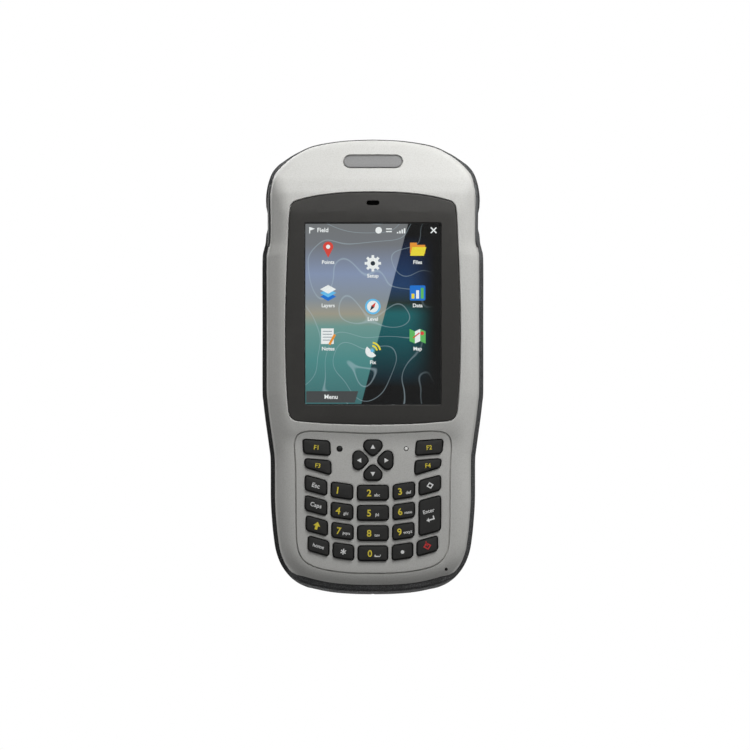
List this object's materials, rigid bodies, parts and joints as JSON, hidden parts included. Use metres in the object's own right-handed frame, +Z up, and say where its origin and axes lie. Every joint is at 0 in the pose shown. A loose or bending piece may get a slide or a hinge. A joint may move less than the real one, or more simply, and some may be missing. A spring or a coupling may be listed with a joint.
{
  "type": "data collector",
  "caption": "Rugged handheld data collector with a touch screen over a keypad, a rubber band round the case, and covered ports at its sides and bottom end.",
  "frame": {"origin": "under the middle of the object, at the level of its lowest point, the bottom end", "axes": "+Z up along the length to the top end, +Y from the screen to the back, +X to the right of the screen"},
  "size_m": [0.092, 0.042, 0.1902],
  "materials": {
    "case_front": "light grey, fine moulded grain",
    "case_rear": "grey, fine moulded grain",
    "band_rubber": "dark grey, leather grain",
    "seal_rubber": "black, smooth",
    "bezel": "charcoal, satin",
    "screen_glass": "clear over a dark display",
    "display": "lit display",
    "badge": "bare, satin",
    "key_cap": "charcoal, satin, with printed legends",
    "keypad_rubber": "dark grey, smooth",
    "light_lens": "frosted clear",
    "circuit_board": "green solder mask",
    "antenna": "ceramic",
    "speaker": "black mesh",
    "battery_shell": "dark, satin",
    "latch": "dark grey, satin",
    "cover_rubber": "dark grey, smooth",
    "jack_metal": "plated",
    "connector_metal": "plated",
    "camera_trim": "black ring round a glass lens",
    "bar_steel": "satin",
    "fastener": "dark plated"
  },
  "bodies": {
    "case": {"antenna_jack": "jack_metal", "badge_plate": "badge", "bumper_band": "band_rubber", "camera": "camera_trim", "front_housing": "case_front", "housing_seal": "seal_rubber", "keypad_mat": "keypad_rubber", "lcd_module": "display", "light_pipes": "light_lens", "loudspeaker": "speaker", "main_board": "circuit_board", "power_jack": "jack_metal", "rear_housing": "case_rear", "satellite_antenna": "antenna", "screen_bezel": "bezel", "screw_hump_left": "fastener", "screw_hump_right": "fastener", "screw_lower_left": "fastener", "screw_lower_right": "fastener", "screw_middle_left": "fastener", "screw_middle_right": "fastener", "screw_upper_left": "fastener", "screw_upper_right": "fastener", "serial_port": "connector_metal", "strap_bar": "bar_steel", "touch_panel": "screen_glass", "usb_port": "connector_metal"},
    "key_0_cap": {"key_0": "key_cap"},
    "key_1_cap": {"key_1": "key_cap"},
    "key_2_cap": {"key_2": "key_cap"},
    "key_3_cap": {"key_3": "key_cap"},
    "key_4_cap": {"key_4": "key_cap"},
    "key_5_cap": {"key_5": "key_cap"},
    "key_6_cap": {"key_6": "key_cap"},
    "key_7_cap": {"key_7": "key_cap"},
    "key_8_cap": {"key_8": "key_cap"},
    "key_9_cap": {"key_9": "key_cap"},
    "key_back_cap": {"key_back": "key_cap"},
    "key_caps_cap": {"key_caps": "key_cap"},
    "key_dot_cap": {"key_dot": "key_cap"},
    "key_down_cap": {"key_down": "key_cap"},
    "key_enter_cap": {"key_enter": "key_cap"},
    "key_escape_cap": {"key_escape": "key_cap"},
    "key_f1_cap": {"key_f1": "key_cap"},
    "key_f2_cap": {"key_f2": "key_cap"},
    "key_f3_cap": {"key_f3": "key_cap"},
    "key_f4_cap": {"key_f4": "key_cap"},
    "key_home_cap": {"key_home": "key_cap"},
    "key_left_cap": {"key_left": "key_cap"},
    "key_power_cap": {"key_power": "key_cap"},
    "key_right_cap": {"key_right": "key_cap"},
    "key_shift_cap": {"key_shift": "key_cap"},
    "key_star_cap": {"key_star": "key_cap"},
    "key_up_cap": {"key_up": "key_cap"},
    "power_cover": {"power_port_cover": "cover_rubber"},
    "antenna_cover": {"antenna_port_cover": "cover_rubber"},
    "end_cover": {"interface_cover": "cover_rubber"},
    "door": {"battery_door": "case_rear"},
    "latch": {"door_latch": "latch"},
    "battery": {"battery_pack": "battery_shell"}
  },
  "joints": [
    {"name": "key_0_press", "type": "slide", "parent": "case", "child": "key_0_cap", "axis": [0, 1, 0], "range_m": [0, 0.0007], "stiffness_N_per_m": 300},
    {"name": "key_1_press", "type": "slide", "parent": "case", "child": "key_1_cap", "axis": [0, 1, 0], "range_m": [0, 0.0007], "stiffness_N_per_m": 300},
    {"name": "key_2_press", "type": "slide", "parent": "case", "child": "key_2_cap", "axis": [0, 1, 0], "range_m": [0, 0.0007], "stiffness_N_per_m": 300},
    {"name": "key_3_press", "type": "slide", "parent": "case", "child": "key_3_cap", "axis": [0, 1, 0], "range_m": [0, 0.0007], "stiffness_N_per_m": 300},
    {"name": "key_4_press", "type": "slide", "parent": "case", "child": "key_4_cap", "axis": [0, 1, 0], "range_m": [0, 0.0007], "stiffness_N_per_m": 300},
    {"name": "key_5_press", "type": "slide", "parent": "case", "child": "key_5_cap", "axis": [0, 1, 0], "range_m": [0, 0.0007], "stiffness_N_per_m": 300},
    {"name": "key_6_press", "type": "slide", "parent": "case", "child": "key_6_cap", "axis": [0, 1, 0], "range_m": [0, 0.0007], "stiffness_N_per_m": 300},
    {"name": "key_7_press", "type": "slide", "parent": "case", "child": "key_7_cap", "axis": [0, 1, 0], "range_m": [0, 0.0007], "stiffness_N_per_m": 300},
    {"name": "key_8_press", "type": "slide", "parent": "case", "child": "key_8_cap", "axis": [0, 1, 0], "range_m": [0, 0.0007], "stiffness_N_per_m": 300},
    {"name": "key_9_press", "type": "slide", "parent": "case", "child": "key_9_cap", "axis": [0, 1, 0], "range_m": [0, 0.0007], "stiffness_N_per_m": 300},
    {"name": "key_back_press", "type": "slide", "parent": "case", "child": "key_back_cap", "axis": [0, 1, 0], "range_m": [0, 0.0007], "stiffness_N_per_m": 300},
    {"name": "key_caps_press", "type": "slide", "parent": "case", "child": "key_caps_cap", "axis": [0, 1, 0], "range_m": [0, 0.0007], "stiffness_N_per_m": 300},
    {"name": "key_dot_press", "type": "slide", "parent": "case", "child": "key_dot_cap", "axis": [0, 1, 0], "range_m": [0, 0.0007], "stiffness_N_per_m": 300},
    {"name": "key_down_press", "type": "slide", "parent": "case", "child": "key_down_cap", "axis": [0, 1, 0], "range_m": [0, 0.0007], "stiffness_N_per_m": 300},
    {"name": "key_enter_press", "type": "slide", "parent": "case", "child": "key_enter_cap", "axis": [0, 1, 0], "range_m": [0, 0.0007], "stiffness_N_per_m": 300},
    {"name": "key_escape_press", "type": "slide", "parent": "case", "child": "key_escape_cap", "axis": [0, 1, 0], "range_m": [0, 0.0007], "stiffness_N_per_m": 300},
    {"name": "key_f1_press", "type": "slide", "parent": "case", "child": "key_f1_cap", "axis": [0, 1, 0], "range_m": [0, 0.0007], "stiffness_N_per_m": 300},
    {"name": "key_f2_press", "type": "slide", "parent": "case", "child": "key_f2_cap", "axis": [0, 1, 0], "range_m": [0, 0.0007], "stiffness_N_per_m": 300},
    {"name": "key_f3_press", "type": "slide", "parent": "case", "child": "key_f3_cap", "axis": [0, 1, 0], "range_m": [0, 0.0007], "stiffness_N_per_m": 300},
    {"name": "key_f4_press", "type": "slide", "parent": "case", "child": "key_f4_cap", "axis": [0, 1, 0], "range_m": [0, 0.0007], "stiffness_N_per_m": 300},
    {"name": "key_home_press", "type": "slide", "parent": "case", "child": "key_home_cap", "axis": [0, 1, 0], "range_m": [0, 0.0007], "stiffness_N_per_m": 300},
    {"name": "key_left_press", "type": "slide", "parent": "case", "child": "key_left_cap", "axis": [0, 1, 0], "range_m": [0, 0.0007], "stiffness_N_per_m": 300},
    {"name": "key_power_press", "type": "slide", "parent": "case", "child": "key_power_cap", "axis": [0, 1, 0], "range_m": [0, 0.0007], "stiffness_N_per_m": 300},
    {"name": "key_right_press", "type": "slide", "parent": "case", "child": "key_right_cap", "axis": [0, 1, 0], "range_m": [0, 0.0007], "stiffness_N_per_m": 300},
    {"name": "key_shift_press", "type": "slide", "parent": "case", "child": "key_shift_cap", "axis": [0, 1, 0], "range_m": [0, 0.0007], "stiffness_N_per_m": 300},
    {"name": "key_star_press", "type": "slide", "parent": "case", "child": "key_star_cap", "axis": [0, 1, 0], "range_m": [0, 0.0007], "stiffness_N_per_m": 300},
    {"name": "key_up_press", "type": "slide", "parent": "case", "child": "key_up_cap", "axis": [0, 1, 0], "range_m": [0, 0.0007], "stiffness_N_per_m": 300},
    {"name": "power_cover_hinge", "type": "hinge", "parent": "case", "child": "power_cover", "pos_m": [0.0445, -0.005, 0.1438], "axis": [0, 1, 0], "range_deg": [0, 100]},
    {"name": "antenna_cover_hinge", "type": "hinge", "parent": "case", "child": "antenna_cover", "pos_m": [-0.0445, -0.005, 0.1438], "axis": [0, -1, 0], "range_deg": [0, 100]},
    {"name": "end_cover_hinge", "type": "hinge", "parent": "case", "child": "end_cover", "pos_m": [-0.0276, -0.0016, 0.0035], "axis": [0, 1, 0], "range_deg": [0, 100]},
    {"name": "door_lift", "type": "slide", "parent": "case", "child": "door", "axis": [0, 1, 0], "range_m": [0, 0.025]},
    {"name": "battery_lift", "type": "slide", "parent": "case", "child": "battery", "axis": [0, 1, 0], "range_m": [0, 0.014]},
    {"name": "latch_slide", "type": "slide", "parent": "door", "child": "latch", "axis": [0, 0, -1], "range_m": [0, 0.003]}
  ],
  "couplings": [
    {"joint": "battery_lift", "follows": "door_lift", "ratio": 0.56}
  ]
}
